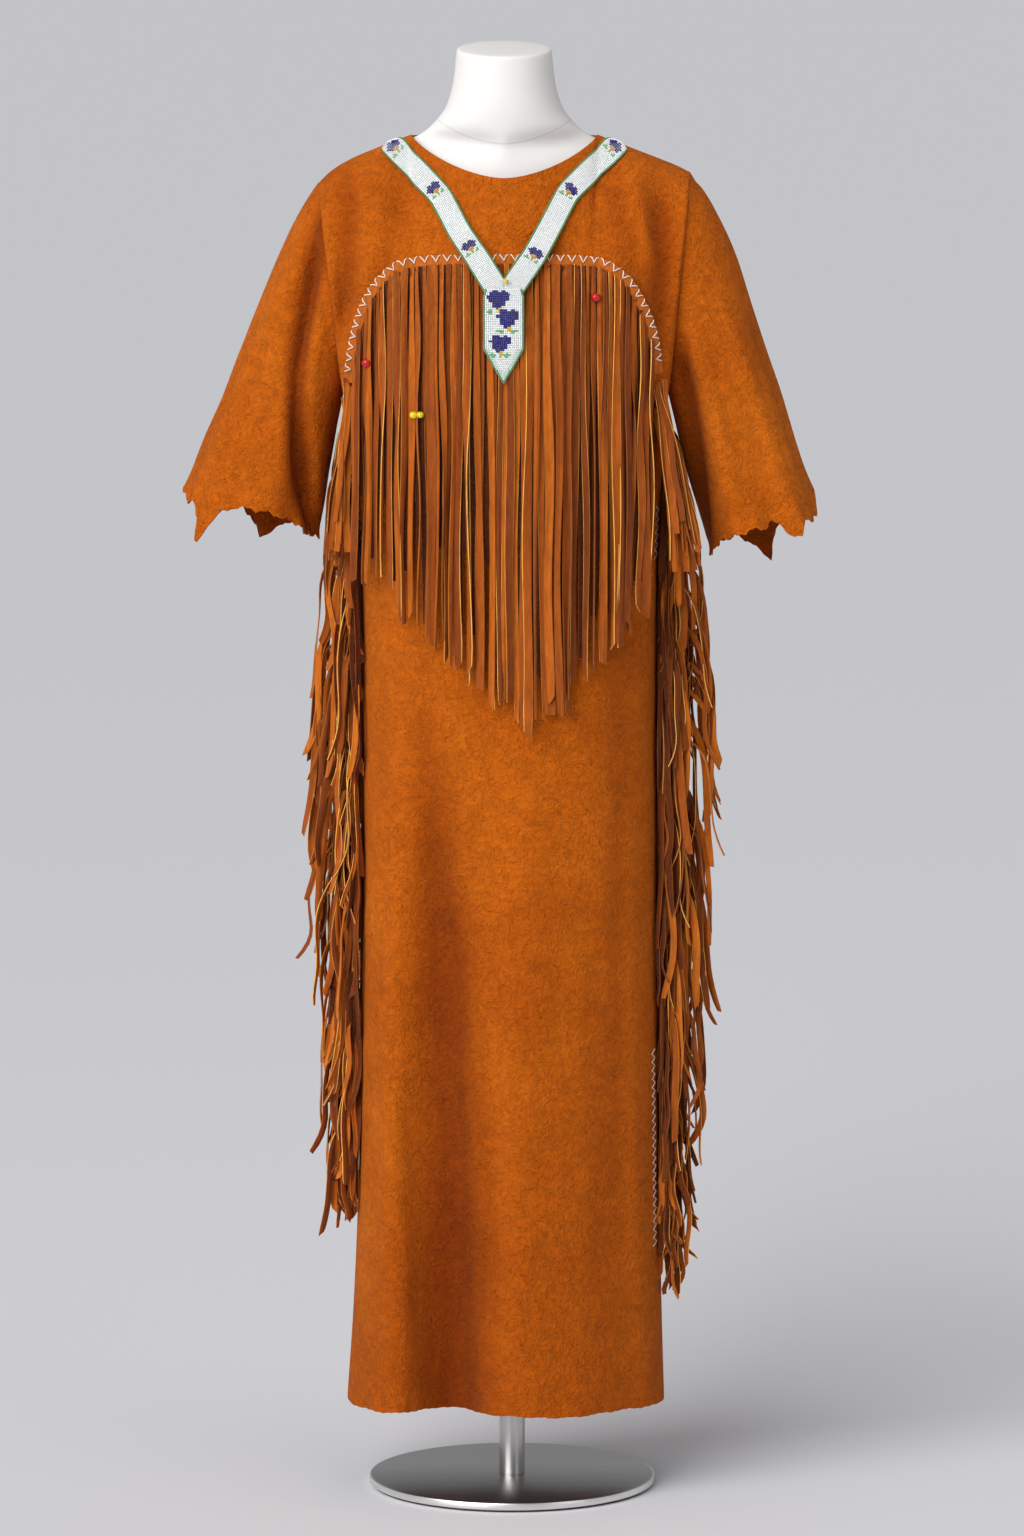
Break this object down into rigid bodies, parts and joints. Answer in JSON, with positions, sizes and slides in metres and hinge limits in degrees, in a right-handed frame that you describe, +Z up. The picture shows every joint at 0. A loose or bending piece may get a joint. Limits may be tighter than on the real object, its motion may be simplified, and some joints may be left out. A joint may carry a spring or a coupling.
{
  "type": "fringed leather dress on a dress form with a round base stand",
  "caption": "Long leather dress with wide open sleeves, chest and side fringes and a V-shaped beaded band, worn by a limbless form on a round stand.",
  "frame": {"origin": "centre of the underside of the round base plate", "axes": "+Z up along the pole, the front of the dress towards -Y, the wearer's left towards +X"},
  "size_m": [0.6603, 0.3, 1.5143],
  "materials": {
    "hide": "suede",
    "strands": "suede",
    "beads": "loomed glass beads",
    "form": "matte",
    "steel": "brushed"
  },
  "bodies": {
    "root": {"front_panel": "hide", "back_panel": "hide", "sleeve_right": "hide", "sleeve_left": "hide", "fringe_chest": "strands", "fringe_side_right": "strands", "fringe_side_left": "strands", "bead_strap_right": "beads", "bead_strap_left": "beads", "bead_tab": "beads", "dress_form": "form", "stand_pole": "steel", "stand_base": "steel"}
  },
  "joints": []
}
